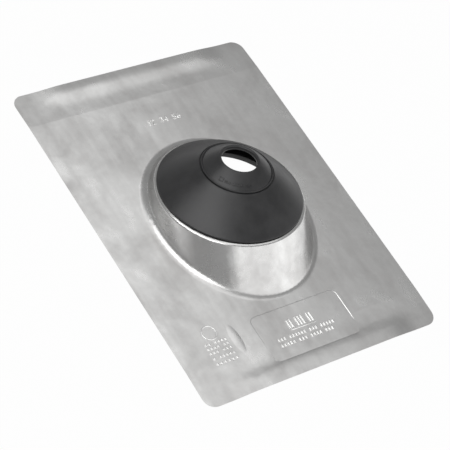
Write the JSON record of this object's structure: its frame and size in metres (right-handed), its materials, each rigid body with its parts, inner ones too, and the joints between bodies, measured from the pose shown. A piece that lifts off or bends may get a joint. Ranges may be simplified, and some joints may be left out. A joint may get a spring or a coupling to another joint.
{
  "type": "pipe flashing boot",
  "caption": "Roof flashing for a vent pipe: a stamped sheet-steel plate with a skewed hump, and a domed elastomer collar that seals round the pipe.",
  "frame": {"origin": "centre of the base plate, in the plane that it rests on", "axes": "+X across the roof slope, +Y up the roof slope, +Z away from the roof"},
  "size_m": [0.235, 0.3174, 0.0592],
  "materials": {
    "galvanised_sheet": "satin zinc coating with soft mottle",
    "moulded_elastomer": "satin black moulding"
  },
  "bodies": {
    "root": {"base": "galvanised_sheet", "collar": "moulded_elastomer"}
  },
  "joints": []
}
